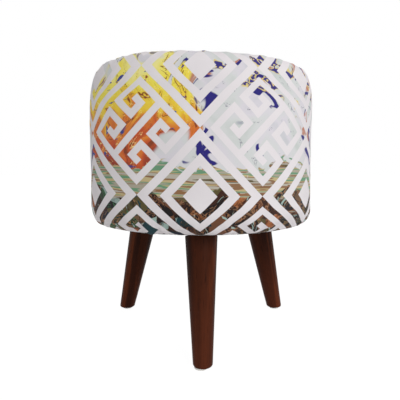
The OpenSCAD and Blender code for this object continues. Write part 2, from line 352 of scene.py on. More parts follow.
def rides(piece, slot, *replaced):
    """Hangs the piece under the root body, and hides the CAD nodes that it replaces."""
    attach(piece, "root")
    if replaced:
        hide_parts(*replaced)


def padding(piece, material, slot, fill, *replaced):
    """Gives a padded piece its finish; fill is not used."""
    piece.data.materials.append(material)
    rides(piece, slot, *replaced)


def open_cells(place):
    """Flexible foam: round open cells, a little yellowed in patches."""
    cell = place.node("ShaderNodeTexVoronoi", {"Vector": place, "Scale": 900.0},
                      {"feature": "SMOOTH_F1"})
    cloud = place.noise(25.0, 2.0)
    return {"Base Color": cloud.colour((236, 226, 186), (222, 206, 158)),
            "Roughness": 0.85 + 0.1 * cell, "Normal": cell.bump(0.0005)}


foam = finish("upholstery_foam", open_cells)
pad_low, band_low, band_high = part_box("top_foam")[0], *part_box("side_foam")
carcass_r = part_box("carcass_wrap")[1].x
FOAM_INSET = SEAT_R - band_high.x
FOAM_STEP, FOAM_SIDES, UNEVEN = 0.004, 180, 0.0004
# How far the foams' edges are cut back, and the glue between foam and hardboard
CUT_BACK, GLUE = 0.001, 0.0002
foam_shoulder = quarter((SEAM_R, SEAM_Z - SHOULDER_H),
                        (SHOULDER_W - FOAM_INSET, SHOULDER_H - FOAM_INSET), 0, 90, 60)
foam_rim = quarter((SEAT_R - RIM_W, UNDERSIDE + RIM_H),
                   (RIM_W - FOAM_INSET, RIM_H - FOAM_INSET), -90, 0, 24)
foam_crown = [(r, SEAM_Z + (CROWN_Z - SEAM_Z) * (1 - (r / SEAM_R) ** 2) - FOAM_INSET)
              for r in np.linspace(SEAM_R, 0, 24)]
foam_r, inner_r = foam_shoulder[0][0], carcass_r + GLUE
foam_shapes = {
    "top": ([(0, pad_low.z), (foam_r - 0.6 * CUT_BACK, pad_low.z)]
            + [p for p in foam_shoulder if p[1] > pad_low.z + CUT_BACK] + foam_crown[1:], False),
    "side": ([p for p in foam_rim if p[0] > carcass_r + CUT_BACK]
             + [p for p in foam_shoulder if p[1] < band_high.z - CUT_BACK]
             + [(foam_r - CUT_BACK, band_high.z), (inner_r, band_high.z),
                (inner_r, band_low.z + CUT_BACK)], True)}
for seed, (place, (outline, loop)) in enumerate(foam_shapes.items()):
    line = walked(outline + outline[:1] if loop else outline, lambda at, end: FOAM_STEP)[0]
    line = line[:-1] if loop else line
    turn = turns(FOAM_SIDES)
    points = turned(line, turn)
    radius = line[:, :1]
    cut_in = UNEVEN * np.clip(ripples(turn, line[:, 1:], seed, 3, 26) - 1.0, -2, 0)
    cut_in = np.where(radius > carcass_r + FOAM_STEP, cut_in, 0)
    points[..., :2] *= (1 + cut_in / np.maximum(radius, 0.01))[..., None]
    padding(facing_out(sewn_grid(f"{place}_pad", settled(points), loop=loop)), foam, "foam", 0.9,
            f"{place}_foam")

# ------------------------------------------------------------
# Printed cover. A strip of printed woven cloth sewn into a ring up the back and a round top,
# joined in a plain turned-in seam, pulled over the padding and gathered under the base.

# The cloth, the fold of the seam and what is turned in there
CLOTH_T, FOLD_R, ALLOWANCE, SEAM_GAP = 0.0012, 0.0022, 0.005, 0.00005
# How far the stuffing moves the cloth out, and the padding lets it in
GIVE, PRESSED_IN = 0.0030, 0.0032
# The pitch of the lattice, and the height above the base of the middle of a row
PRINT_PITCH, PRINT_MIDDLE = (0.0855, 0.086), 0.052


def fold_turn(outer):
    """The turn of either panel into the seam: from its surface down into the joint, and inside."""
    side = 1 if outer else -1
    x = SEAM_R + side * (FOLD_R + SEAM_GAP)
    arc_z = SEAM_Z - SHOULDER_H + SHOULDER_H * math.sqrt(1 - (FOLD_R / SHOULDER_W) ** 2)
    z = arc_z - FOLD_R
    arc = quarter((x, z), (FOLD_R, FOLD_R), 90, 180 if outer else 0, 7)
    return arc + [(arc[-1][0], z - ALLOWANCE)]


def side_outline():
    """The side panel's outer surface, from the hem under the base to inside the top seam."""
    ends = math.degrees(math.acos(FOLD_R / SHOULDER_W))
    return ([(HEM_R, UNDERSIDE)]
            + quarter((SEAT_R - RIM_W, UNDERSIDE + RIM_H), (RIM_W, RIM_H), -90, 0, 30)
            + quarter((SEAM_R, SEAM_Z - SHOULDER_H), (SHOULDER_W, SHOULDER_H), 0, ends, 60)
            + fold_turn(True)[1:])


def top_outline():
    """The round top's outer surface, from inside the seam to the middle."""
    inside = fold_turn(False)[::-1]
    edge, low = inside[-1]
    rise = CROWN_Z - low
    return inside + [(r, low + rise * (1 - (r / edge) ** 2)) for r in np.linspace(edge, 0, 40)[1:]]


def outward(outline):
    """The outline's unit normals, pointing to its outside."""
    along = np.gradient(outline, axis=0)
    normal = np.stack([along[:, 1], -along[:, 0]], 1)
    return normal / np.linalg.norm(normal, axis=1, keepdims=True)


def pushed(outline, turn, push):
    """Points of the turned outline, each moved out of the surface by its push."""
    return turned(outline, turn) + turned(outward(outline), turn) * push[..., None]


def stuffing():
    """Swells the closed cover, cut a little loose, in a cloth simulation that holds its hem and seam.
    Returns for each panel how far it goes out: its gathers in full and a part of its even swelling,
    since the outlines are those of the finished drum."""
    frames, pressure, loose = 20, 4, 0.012
    turn = turns(160)
    side, side_at = walked(side_outline()[:-4], lambda at, end: 0.0065)
    top, top_at = walked(top_outline()[4:], lambda at, end: 0.0068)
    base = [(0, UNDERSIDE), (HEM_R / 2, UNDERSIDE)]
    outline = np.concatenate([base, side, top])
    out = turned(outward(outline), turn)
    start = turned(outline, turn) + out * (0.0002 * ripples(turn, outline[:, 1:], 5, 8, 40))[..., None]
    form = sewn_grid("stuffing", start)
    seam_row = len(base) + len(side)
    held = form.vertex_groups.new(name="held")
    row_of = np.cumsum([0, 1] + [len(turn)] * (len(outline) - 2) + [1])
    for row in range(len(outline)):
        if row < len(base) + 3 or abs(row + 0.5 - seam_row) < 1:
            held.add(list(range(row_of[row], row_of[row + 1])), 1.0, "REPLACE")
    cloth = form.modifiers.new("Cloth", "CLOTH")
    settings = {"quality": 6, "mass": 0.25, "tension_stiffness": 25, "compression_stiffness": 25,
                "shear_stiffness": 8, "bending_stiffness": 0.8, "vertex_group_mass": "held",
                "use_pressure": True, "uniform_pressure_force": pressure, "shrink_min": -loose}
    for name, value in settings.items():
        setattr(cloth.settings, name, value)
    cloth.settings.effector_weights.gravity = 0
    cloth.collision_settings.use_collision = False
    cloth.point_cache.frame_start, cloth.point_cache.frame_end = 1, frames
    for step in range(1, frames + 1):
        scene.frame_set(step)
    swollen = form.evaluated_get(bpy.context.evaluated_depsgraph_get()).to_mesh()
    grown = np.empty(len(swollen.vertices) * 3)
    swollen.vertices.foreach_get("co", grown)
    grown = grown.reshape(-1, 3)
    scene.frame_set(1)
    bpy.data.objects.remove(form)
    rows = [np.broadcast_to(grown[row_of[row]:row_of[row + 1]], (len(turn), 3))
            for row in range(len(outline))]
    push = ((np.array(rows) - start) * out).sum(2)
    lower, upper = (GIVE * np.tanh((part - 0.75 * part.mean(1, keepdims=True)) / GIVE)
                    for part in (push[len(base):seam_row], push[seam_row:]))
    from_top_start = math.pi / 2 * FOLD_R * 3 / 6 + ALLOWANCE
    return (lower, turn, side_at), (upper, turn, top_at + from_top_start)


def read_at(field, turn, at):
    """A field of the coarse form, read at other turns and places."""
    values, turns, places = field
    closed, turns = np.concatenate([values, values[:, :1]], 1), np.append(turns, turns[0] + TAU)
    rows = np.stack([np.interp(turn, turns, row) for row in closed])
    return np.stack([np.interp(at, places, column) for column in rows.T], 1)


side_field, top_field = stuffing()
# The panels' rows of points are close together at the seam, and get wider away from it
FINE_ROW, RIM_ROW, WIDE_ROW, WIDENING = 0.0008, 0.0022, 0.005, 0.12
RIM_PART, SEAM_PART = 0.036, 0.004
side_line, side_at = walked(side_outline(), lambda at, end: min(
    RIM_ROW if at < RIM_PART else WIDE_ROW,
    FINE_ROW + WIDENING * max(0, end - ALLOWANCE - SEAM_PART - at)))
top_line, top_at = walked(top_outline(), lambda at, end: min(
    WIDE_ROW, FINE_ROW + WIDENING * max(0, at - ALLOWANCE - SEAM_PART)))
by_the_seam = np.array([0, 0.0004, 0.0009, 0.0015, 0.0022, 0.0031]) / SEAT_R
side_turn = np.concatenate([by_the_seam - math.pi, np.linspace(-math.pi, math.pi, 481)[2:-2],
                            (math.pi - by_the_seam)[::-1]])
top_turn = turns(360)
seam_from_side = (side_at[-1] - ALLOWANCE - side_at)[:, None]
seam_from_top = (top_at - ALLOWANCE)[:, None]

# Gathers: the ring of cloth is eased into the smaller seam and pleated under the smaller hem.
# Each field of ripples has its height, its seed with the fewest and most waves, and its place.
rim_end = np.interp(UNDERSIDE + RIM_H, side_line[:-8, 1], side_at[:-8])
print_height = (side_at - rim_end + RIM_H)[:, None]
under = 1 - eased(print_height, 0.004, 0.030)
near_top = np.exp(-seam_from_side / 0.016)
side_push = sum(height * ripples(side_turn, print_height, *waves) * place
                for height, waves, place in ((0.0004, (21, 3, 14), 1), (0.0004, (22, 36, 80), near_top),
                                             (0.0006, (23, 24, 64), under)))

# On the right the cover is fuller below the seam and at the rim, and pressed in beside that
FULL_AT, FULL_HIGH, FULL_LOW = 1.35, 0.0010, 0.0020
side_push += FULL_HIGH * hump(side_turn, FULL_AT, 0.35) * hump(seam_from_side, 0.030, 0.025)
side_push += FULL_LOW * hump(side_turn, FULL_AT, 0.30) * hump(print_height, 0.014, 0.012)
side_push -= FULL_LOW * eased(side_turn, 0.55, 0.68) * (1 - eased(side_turn, 0.78, 1.25)) * under

# Pleats at the rim: turn, and depth and width in millimetres
PLEATS = ((-2.60, 2.4, 7), (-1.86, 3.0, 9), (-1.22, 2.2, 7), (-0.515, 3.4, 8), (0.318, 3.2, 8),
          (0.93, 2.4, 8), (1.47, 2.8, 7), (2.15, 3.2, 9), (2.84, 2.2, 7))
for centre, depth, width in PLEATS:
    across = (side_turn - centre) * SEAT_R * 1000 / width
    tuck = hump(across, 0, 1) - 0.45 * hump(np.abs(across), 2.2, 1)
    side_push -= depth * 0.001 * tuck * (1 - eased(print_height, 0.002, 0.028))
on_base = 1 - eased(side_at[:, None], 0.006, 0.014)
side_push *= 1 - on_base
side_push += 0.0003 * on_base * (1 + ripples(side_turn, print_height, 24, 50, 90))
if side_field:
    side_push += read_at(side_field, side_turn, side_at)

# The closing seam up the back: a narrow groove, with small puckers where it was stitched
GROOVE, GROOVE_W, PUCKER, PUCKER_PITCH = 0.0012, 0.0028, 0.0003, 0.013
from_back = (math.pi - np.abs(side_turn)) * SEAT_R
side_push -= GROOVE * (1 - eased(from_back, 0, GROOVE_W))
side_push += (PUCKER * np.sin(TAU * print_height / PUCKER_PITCH) * hump(from_back, 0, 0.008)
              * (1 - on_base))
side_push *= eased(seam_from_side, -0.001, 0.006)

# The padding gives only so much, and where the cloth lies on the board and the hardboard, nothing
room = 0.00004 + PRESSED_IN * eased(print_height, -0.003, 0.008)
side_push = np.where(side_push < 0, room * np.tanh(side_push / room), side_push)

top_push = 0.0006 * ripples(top_turn, seam_from_top, 31, 2, 7) * eased(top_line[:, :1], 0.0, 0.12)
top_push += 0.0005 * ripples(top_turn, seam_from_top, 32, 36, 80) * np.exp(-seam_from_top / 0.018)
if top_field:
    top_push += read_at(top_field, top_turn, top_at)
top_push *= eased(seam_from_top, -0.001, 0.006)


def seam_wander(points, turn, from_seam):
    """The seam isn't a perfect circle: both panels follow it up and down, and in and out."""
    near = np.exp(-np.abs(from_seam) / 0.014)
    radius = np.maximum(np.linalg.norm(points[..., :2], axis=2), 0.01)
    points[..., 2] += near * 0.0004 * ripples(turn, 0 * from_seam, 41, 6, 40)
    points[..., :2] *= (1 + near * 0.0005 * ripples(turn, 0 * from_seam, 42, 3, 30) / radius)[..., None]
    return settled(points)


side_points = seam_wander(pushed(side_line, side_turn, side_push), side_turn, seam_from_side)
top_points = seam_wander(pushed(top_line, top_turn, top_push), top_turn, seam_from_top)

# The print repeats six times round the ring. It is pulled unevenly: wider on the quarters of the
# drum, a little askew, and drawn together at the rim and where it is eased into the top seam.
REPEATS = 6
leaning = 0.026 * hump(side_turn, 0.95, 0.4) * eased(print_height, 0.06, 0.13)
repeat = REPEATS / math.pi * (
    side_turn + 0.0148 - 0.0091 * np.cos(2 * side_turn) + 0.0132 * np.sin(2 * side_turn)
    + 0.0361 * np.sin(4 * side_turn) + leaning)
askew = print_height + 0.0023 * np.sin(side_turn) - PRINT_MIDDLE
askew -= 0.235 * (1 + 0.7 * np.sin(side_turn)) * np.maximum(0.035 - print_height, 0)
askew -= 0.0024 * hump(side_turn, 0.65, 0.7) * hump(print_height, 0.155, 0.050)
askew += 0.0023 * hump(side_turn, -1.00, 0.45) * eased(print_height, 0.185, 0.215)
side_print = np.stack([repeat + 0.145 * np.sin(side_turn) * eased(print_height, 0.170, 0.205),
                       askew / PRINT_PITCH[1] + 0.055 * eased(print_height, 0.180, 0.207)], 2)
top_print = 1 + top_points[..., :2] / np.array(PRINT_PITCH)


def band(x, low, high, soft=0.035):
    """1 between low and high, 0 outside."""
    return x.rise(low - soft, low + soft) * (1 - x.rise(high - soft, high + soft))


def fret(place):
    """The white fret of the print: diamonds of nested squares between diamonds of a Greek key."""
    right = (place.axis("X") + place.axis("Y")) / 2 + 0.5
    left = (place.axis("Y") - place.axis("X")) / 2 + 0.5
    m, n = ((part.math("FRACT") * 2 - 1).math("ABSOLUTE") for part in (right, left))
    key_tile = (right.math("FLOOR") + left.math("FLOOR")).math("FLOORED_MODULO", 2.0)
    ring = m.math("MAXIMUM", n) * 11
    nested = (1 - ring.rise(2.96, 3.04)) + band(ring, 5, 7) + ring.rise(8.96, 9.04)
    a, b = m * 6.5, n * 6.5
    outer = a.math("MAXIMUM", b)
    bars = [band(b, -1, 0.5) * band(a, -1, 5.5), band(outer, 4.5, 5.5) * a.rise(0.465, 0.535),
            band(b, 1.5, 2.5) * band(a, 0.5, 3.5), band(a, 2.5, 3.5) * band(b, 1.5, 3.5),
            band(a, 0.5, 1.5) * band(b, 1.5, 5.5)]
    key = bars[0]
    for bar in bars[1:]:
        key = key.math("MAXIMUM", bar)
    return key_tile * key + (1 - key_tile) * nested


def brushwork(place):
    """The painted ground of the print: pale washes and a warm cloud over earthy streaks."""
    drift = place.noise(1.1, 2.0, out=1).vector("SUBTRACT", (0.5, 0.5, 0.5))
    free = place.vector("ADD", drift.vector("MULTIPLY", (0.9, 0.9, 0.0)))
    across, up = free.axis("X"), free.axis("Y")
    stroke = free.noise(3.4, 3.0, 0.8, (1.0, 0.45, 1.0))
    fine = free.noise(9.0, 2.0, 1.2)
    bristle = free.noise(14.0, 2.0, 0.4, (1.0, 0.12, 1.0))
    # Pale washes, with broad violet-blue strokes that carry a ragged salmon-brown edge
    wash = free.noise(1.7, 3.0).ramp([(0.32, (204, 209, 206)), (0.45, (217, 219, 218)),
                                      (0.57, (223, 218, 225)), (0.68, (208, 208, 213))])
    line = free.noise(1.25, 1.5, 1.0)
    dab = free.noise(4.2, 2.0, 0.6, (1.0, 1.6, 1.0))
    where = free.noise(1.6, 1.0, 0.0, (1.0, 1.3, 1.0)).rise(0.50, 0.52)
    ragged = band(line + (bristle - 0.5) * 0.16, 0.555, 0.62, 0.012) * where
    ground = (ragged * bristle.rise(0.40, 0.52)).colour(wash, (190, 124, 98))
    ground = (band(line, 0.475, 0.545, 0.004) * where).colour(ground, (44, 38, 122))
    ground = (band(fine, 0.635, 0.66, 0.008) * dab.rise(0.52, 0.56)).colour(ground, (96, 92, 120))
    mark = free.noise(5.5, 1.0, 0.5, (1.0, 0.8, 1.0))
    crowd = free.noise(1.3, 1.0, 0.3).rise(0.50, 0.54) * up.rise(1.25, 1.5)
    ground = (band(mark, 0.50, 0.66, 0.01) * crowd).colour(ground, (228, 208, 130))
    ground = (band(mark, 0.53, 0.62, 0.006) * crowd).colour(ground, (58, 50, 128))
    # A warm cloud from yellow down to red-orange, with darker contours
    cloud = ((across + 1.2) * (TAU / 6)).math("COSINE") * 0.9 - (up - 1.25).math("ABSOLUTE") * 0.75
    heat = (2.2 - up) * 0.52 + (stroke - 0.5) * 0.9
    warm = heat.ramp([(0.0, (243, 235, 150)), (0.24, (245, 228, 86)), (0.46, (242, 202, 60)),
                      (0.60, (230, 142, 54)), (0.78, (208, 90, 46)), (0.95, (150, 60, 44))])
    warm = (band(stroke, 0.53, 0.55, 0.006) * dab.rise(0.44, 0.48)).colour(warm, (140, 66, 36))
    contour = free.noise(6.0, 2.0, 1.4)
    warm = (band(contour, 0.488, 0.500, 0.004) * stroke.rise(0.46, 0.50)).colour(warm, (128, 60, 40))
    warm = band(fine, 0.62, 0.65, 0.01).colour(warm, (250, 232, 150))
    warm = (dab.rise(0.645, 0.66)).colour(warm, (60, 70, 140))
    ground = (cloud + (line - 0.5) * 1.6).rise(0.10, 0.20).colour(ground, warm)
    # Earthy streaks, then a dark lower part with patches of rust, teal and navy
    streak = (place.noise(4.6, 1.0, 0.1, (0.06, 1.3, 1.0)) * 0.84
              + place.noise(9.0, 2.0, 0.0, (0.12, 2.8, 1.0)) * 0.16)
    streak = streak.ramp([(0.0, (96, 66, 44)), (0.37, (146, 106, 72)), (0.41, (176, 168, 150)),
                          (0.445, (108, 154, 120)), (0.475, (198, 180, 134)), (0.505, (142, 106, 76)),
                          (0.535, (188, 182, 168)), (0.575, (100, 88, 60)), (0.62, (178, 116, 72))],
                         "CONSTANT")
    edge = up + (dab - 0.5) * 0.5
    ground = edge.rise(0.44, 0.47).colour(streak, ground)
    patch = free.node("ShaderNodeTexVoronoi", {"Vector": free.vector("MULTIPLY", (1.0, 1.5, 1.0)),
                                               "Scale": 3.2, "Randomness": 1.0}, {}, "Color")
    pick = patch.axis("X") * 0.9 + fine * 0.14
    deep = pick.ramp([(0.0, (60, 32, 22)), (0.20, (112, 72, 50)), (0.31, (166, 98, 56)),
                      (0.40, (28, 16, 12)), (0.49, (92, 82, 48)), (0.56, (26, 60, 66)),
                      (0.62, (10, 22, 44)), (0.70, (116, 86, 62)), (0.78, (48, 100, 64)),
                      (0.83, (18, 14, 16)), (0.90, (160, 184, 176)), (0.97, (190, 84, 132))],
                     "CONSTANT")
    deep = (stroke.rise(0.38, 0.60) * fine.rise(0.62, 0.42) * 0.85).colour(deep, (30, 16, 13))
    deep = (band(fine, 0.53, 0.58, 0.01) * stroke.rise(0.48, 0.54) * 0.8).colour(deep, (172, 122, 86))
    deep = (bristle.rise(0.58, 0.62) * dab.rise(0.56, 0.60)).colour(deep, (164, 188, 180))
    return edge.rise(-0.02, 0.03).colour(deep, ground)


def xyz(x, y, z):
    """A vector of three parts, of which at least one is a socket."""
    part = next(p for p in (x, y, z) if isinstance(p, Socket))
    return part.node("ShaderNodeCombineXYZ", {0: x, 1: y, 2: z})


def printed_cloth(place):
    """Printed woven cloth: ink on a fine plain weave, a little fuller where a thread is thick, with
    painted shade in the gaps between the threads.
    """
    threads = place.vector("MULTIPLY", (TAU * 105, TAU * 105, 1.0))
    warp, weft = (threads.axis(name).math("SINE").math("ABSOLUTE") for name in "XY")
    slub = place.noise(60.0, 2.0)
    white = place.noise(2.2, 3.0).colour((231, 225, 228), (238, 233, 235))
    colour = fret(place).colour(brushwork(place), white)
    # Painted shade: the colour is a few per cent darker in the gaps between the threads; the slub noise
    # varies it at random
    shade = 0.94 + 0.05 * (warp * weft) + 0.04 * slub
    return {"Base Color": colour.vector("MULTIPLY", xyz(shade, shade, shade)),
            "Roughness": 0.78 - 0.1 * slub, "Normal": (0.5 * (warp + weft) + 0.8 * slub).bump(0.0002)}


cover_cloth = finish("printed_cloth", printed_cloth, ("ShaderNodeUVMap", {"uv_map": "print"}, 0),
                     Sheen_Weight=0.06, Sheen_Roughness=0.5, Specular_IOR_Level=0.2)
cover_side = sewn_grid("cover_side", side_points, wrap=False, print_at=side_print)
cover_top = sewn_grid("cover_top", top_points, print_at=top_print)
for panel, node in ((cover_side, "cover_side_panel"), (cover_top, "cover_top_panel")):
    cloth = panel.modifiers.new("Cloth thickness", "SOLIDIFY")
    cloth.thickness, cloth.offset, cloth.use_even_offset = CLOTH_T, -1, True
    padding(panel, cover_cloth, "printed_cover", 0.95, node)


# ------------------------------------------------------------
# Wadding. A soft sheet of polyester fibre between the foam and the cover, cut in a round and a
# band that meet at the seam. It fills what lies between the foam and the cover's back.


def fibres(place):
    """Matted white fibres, in soft tufts."""
    hair = place.noise(260.0, 4.0, 3.0)
    tuft = place.noise(40.0, 2.0)
    return {"Base Color": tuft.colour((244, 244, 242), (228, 228, 226)),
            "Roughness": 0.9 + 0.08 * hair, "Normal": (hair + tuft).bump(0.0008)}


wadding = finish("polyester_wadding", fibres)
WADDING_IN, WADDING_OUT = 0.0050, CLOTH_T + 0.0003
# It is cut off just above the rim's lower edge and short of the seam
ABOVE_RIM, OFF_SEAM = 0.001, 0.003
for name, line, turn, push, rows in (
        ("wadding_side", side_line, side_turn, side_push,
         (print_height[:, 0] > ABOVE_RIM) & (seam_from_side[:, 0] > OFF_SEAM)),
        ("wadding_top", top_line, top_turn, top_push, seam_from_top[:, 0] > OFF_SEAM)):
    outer = pushed(line, turn, push - WADDING_OUT)[rows]
    inner = pushed(line, turn, np.full_like(push, -WADDING_IN))[rows]
    shell = settled(np.concatenate([outer, inner[::-1]]))
    shell = shell if name == "wadding_top" else shell[:, :-1]
    padding(facing_out(sewn_grid(name, shell, loop=True)), wadding, "wadding", 0.5, "wadding")
# ------------------------------------------------------------
# Dust cover. A round of thin black spun-bonded cloth, its edge turned in, stretched over the
# underside and stapled through the hem of the cover all round.

dust_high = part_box("dust_cover")[1]
DUST_R, DUST_T, TURNED_IN = dust_high.x, 0.0006, 0.0011
STAPLES = 36


def spun_bond(place):
    """Spun-bonded cloth: matted threads pressed together in a close grid of small dots."""
    hair = place.noise(700.0, 3.0, 2.0)
    grid = place.vector("MULTIPLY", (TAU / 0.0028,) * 3)
    dots = (grid.axis("X").math("SINE") * grid.axis("Y").math("SINE")).rise(0.45, 0.8)
    cloud = place.noise(18.0, 2.0)
    return {"Base Color": (hair * 0.6 + cloud * 0.4).colour((24, 24, 26), (50, 50, 53)),
            "Roughness": 0.9 - 0.35 * dots, "Normal": (hair * 0.5 - dots).bump(0.00015)}


dust_cloth = finish("black_spun_bonded_cloth", spun_bond)
# It steps down to lap over the hem, and lies CLEAR of what is above it
CLEAR, NUT_HOLE_R = 0.00002, 0.010
edge_r, lap_z, flat_z = DUST_R - 0.0004, UNDERSIDE - TURNED_IN, dust_high.z - DUST_T
lower_face = [(0, flat_z), (HEM_R - 0.0026, flat_z), (HEM_R + 0.0004, lap_z), (edge_r, lap_z)]
edge = quarter((edge_r, UNDERSIDE - TURNED_IN / 2 - CLEAR / 2), (TURNED_IN / 2,) * 2, -60, 60, 5)
upper_face = [(edge_r, UNDERSIDE - CLEAR), (HEM_R + 0.0006, UNDERSIDE - CLEAR),
              (HEM_R - 0.0010, dust_high.z - CLEAR), (0, dust_high.z - CLEAR)]
dust_line = np.concatenate([
    walked(lower_face, lambda at, end: 0.006 if at < 0.140 else 0.0015)[0], edge,
    walked(upper_face, lambda at, end: 0.0015 if at < 0.012 else 0.008)[0]])
dust_turn = turns(288)
dust_points = turned(dust_line, dust_turn)
dust_radius = dust_line[:, :1]
scallop = 0.5 - 0.5 * np.cos(STAPLES * dust_turn)
outer_part = eased(dust_radius, HEM_R, DUST_R)
slack = eased(dust_radius, 0.015, 0.050) * (1 - eased(dust_radius, 0.070, 0.086))
is_lower = (np.arange(len(dust_line)) < len(dust_line) / 2)[:, None]
dust_points[..., 2] -= slack * np.maximum(0.0005 + 0.0003 * ripples(dust_turn, dust_radius, 51, 2, 9), 0)
dust_points[..., 2] -= is_lower * outer_part * 0.0003 * scallop
dust_points[..., :2] *= (1 - outer_part * 0.0008 * scallop / DUST_R)[..., None]
dust_sheet = sewn_grid("dust_sheet_uncut", dust_points)
for leg in LEG_TURNS:
    low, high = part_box(f"weld_nut_{leg}")
    hole = turned([(0, -0.01), (NUT_HOLE_R, -0.01), (NUT_HOLE_R, 0.01), (0, 0.01)],
                  np.linspace(0, TAU, 32, endpoint=False)) + np.array((low + high) / 2)
    cut = dust_sheet.modifiers.new(f"Hole {leg}", "BOOLEAN")
    cut.object = facing_out(sewn_grid(f"nut_hole_{leg}", hole))
    cut.operation, cut.solver = "DIFFERENCE", "EXACT"


def made_plain(piece, name):
    """The piece as its modifiers leave it: a plain mesh under the name."""
    result = piece.evaluated_get(bpy.context.evaluated_depsgraph_get())
    mesh = bpy.data.meshes.new_from_object(result)
    mesh.name = name
    plain = bpy.data.objects.new(name, mesh)
    scene.collection.objects.link(plain)
    bpy.data.objects.remove(piece)
    plain.name = name
    return plain


dust_sheet = made_plain(dust_sheet, "dust_sheet")
for leg in LEG_TURNS:
    bpy.data.objects.remove(bpy.data.objects[f"nut_hole_{leg}"])
dust_sheet.data.materials.append(dust_cloth)
rides(dust_sheet, "dust_cloth", "dust_cover")

# ------------------------------------------------------------
# Staples. Galvanised wire staples, shot by hand through the dust cover and the hem into the
# base board, so that they stand a little out of line.


def tree_with(name, inputs):
    """A Geometry Nodes tree with named inputs, and the sockets that bring them in."""
    tree = bpy.data.node_groups.new(name, "GeometryNodeTree")
    for label, value in inputs.items():
        kind = "Material" if value is None else "Int" if isinstance(value, int) else "Float"
        socket = tree.interface.new_socket(label, in_out="INPUT", socket_type=f"NodeSocket{kind}")
        if value is not None:
            socket.default_value = value
    tree.interface.new_socket("Geometry", in_out="OUTPUT", socket_type="NodeSocketGeometry")
    entry = tree.nodes.new("NodeGroupInput")
    return tree, {label: Socket(tree, entry.outputs[label]) for label in inputs}


def ending(tree, geometry, material):
    """Ends a tree: real geometry with its finish."""
    done = geometry.into("RealizeInstances").into("SetMaterial", Material=material)
    leave = tree.nodes.new("NodeGroupOutput")
    tree.links.new(done.socket, leave.inputs[0])


def grown(name, tree, **values):
    """A plain mesh piece made by the tree with these inputs."""
    seed = bpy.data.objects.new(f"{name}_tree", bpy.data.meshes.new(name))
    scene.collection.objects.link(seed)
    nodes = seed.modifiers.new("Geometry Nodes", "NODES")
    nodes.node_group = tree
    items = tree.interface.items_tree
    sockets = {item.name: item.identifier for item in items if item.in_out == "INPUT"}
    for label, value in spaced(values).items():
        nodes[sockets[label]] = value
    return made_plain(seed, name)


def bearing(start):
    """The turn at which a point of a ring stands."""
    at = start.source("InputPosition")
    return at.axis("Y").math("ARCTAN2", at.axis("X"))


def staple_tree():
    tree, size = tree_with("staples", {
        "Count": STAPLES, "Ring Radius": 0.158, "Height": 0.181, "Crown": 0.010, "Leg": 0.003,
        "Wire": 0.0011, "Out Of Line": 0.0008, "Turn Error": 0.10, "Seed": 7, "Finish": None})
    start, astray = size["Count"], size["Out Of Line"]
    half = start.source("InputIndex") - 1.5
    x = half.math("SIGN") * size["Crown"] * 0.5
    z = (half.math("ABSOLUTE") > 1) * size["Leg"]
    wire = start.source("CurvePrimitiveCircle", Resolution=8, Radius=size["Wire"] * 0.5)
    staple = start.source("CurvePrimitiveLine", End=(1, 0, 0)).into("ResampleCurve", Count=4)
    staple = staple.into("SetPosition", Position=xyz(x, 0, z))
    staple = staple.into("FilletCurve", {"mode": "POLY"}, Count=3, Radius=size["Wire"] * 0.9)
    staple = staple.into("CurveToMesh", Profile_Curve=wire, Fill_Caps=True)
    staple = staple.into("Transform", Scale=(1.0, 1.0, 0.7))
    error = start.node("FunctionNodeRandomValue", {0: (-1, -1, 0), 1: (1, 1, 0), "Seed": size["Seed"]},
                       {"data_type": "FLOAT_VECTOR"})
    offset = xyz(error.axis("X") * astray, error.axis("Y") * astray, size["Height"])
    ring = start.source("MeshCircle", Vertices=start, Radius=size["Ring Radius"])
    ring = ring.into("SetPosition", Offset=offset)
    angle = bearing(start) + math.pi / 2 + error.axis("X") * size["Turn Error"]
    placed = ring.into("InstanceOnPoints", Instance=staple, Rotation=xyz(0, 0, angle))
    ending(tree, placed.into("SetShadeSmooth"), size["Finish"])
    return tree


staples = grown("dust_cover_staples", staple_tree(), Height=UNDERSIDE - TURNED_IN - 0.0003,
                Ring_Radius=DUST_R - 0.003, Finish=fastener_steel)
rides(staples, "fastener_steel")
# ------------------------------------------------------------
# Legs. Three legs turned from walnut-stained wood, a straight taper with softened edges, each
# leaning outwards with its foot cut level, and finished in satin lacquer.

LEG_TILT = math.radians(14)
LEG_TOP_D, LEG_FOOT_D, LEG_ROUND = 0.0465, 0.0268, 0.003
# Where a leg's axis meets the underside, and how far down that axis the wood begins
LEG_RING_R, LEG_TOP_DROP = 0.11939, 0.00827
glide_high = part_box("glide_front")[1]


def walnut(place):
    """Stained wood: growth rings stretched along the leg and fine dark pores. Towards the foot the
    colour grows lighter, except on the left, away from the main soft box: painted light."""
    rings = place.vector("MULTIPLY", (1.0, 1.0, 0.055))
    broad = rings.noise(55.0, 3.0, 0.6)
    figure = ((rings.axis("X") * 240 + rings.axis("Y") * 60 + broad * 9).math("SINE") * 0.5 + 0.5)
    fine = rings.noise(380.0, 3.0)
    pores = place.vector("MULTIPLY", (1.0, 1.0, 0.03)).noise(900.0, 1.0).rise(0.62, 0.70)
    tone = (figure.rise(0.1, 0.9) * 0.45 + broad.rise(0.35, 0.65) * 0.35 + fine * 0.3)
    colour = tone.ramp([(0.15, (42, 18, 10)), (0.45, (53, 24, 13)), (0.70, (64, 29, 15)),
                        (0.95, (90, 43, 22))])
    colour = (pores * 0.6).colour(colour, (22, 9, 5))
    spot = place.node("ShaderNodeTexCoord", out="Object")
    # Painted light: lighter towards the foot, except on the left, away from the main soft box
    painted_light_low_right = spot.axis("Z").rise(0.15, 0.01) * spot.axis("X").rise(-0.15, 0.02) * (0.18 + 0.24 * broad)
    colour = painted_light_low_right.colour(colour, (118, 58, 36))
    return {"Base Color": colour, "Roughness": 0.36 + 0.14 * fine + 0.1 * pores,
            "Normal": (fine * 0.4 - pores).bump(0.00010)}


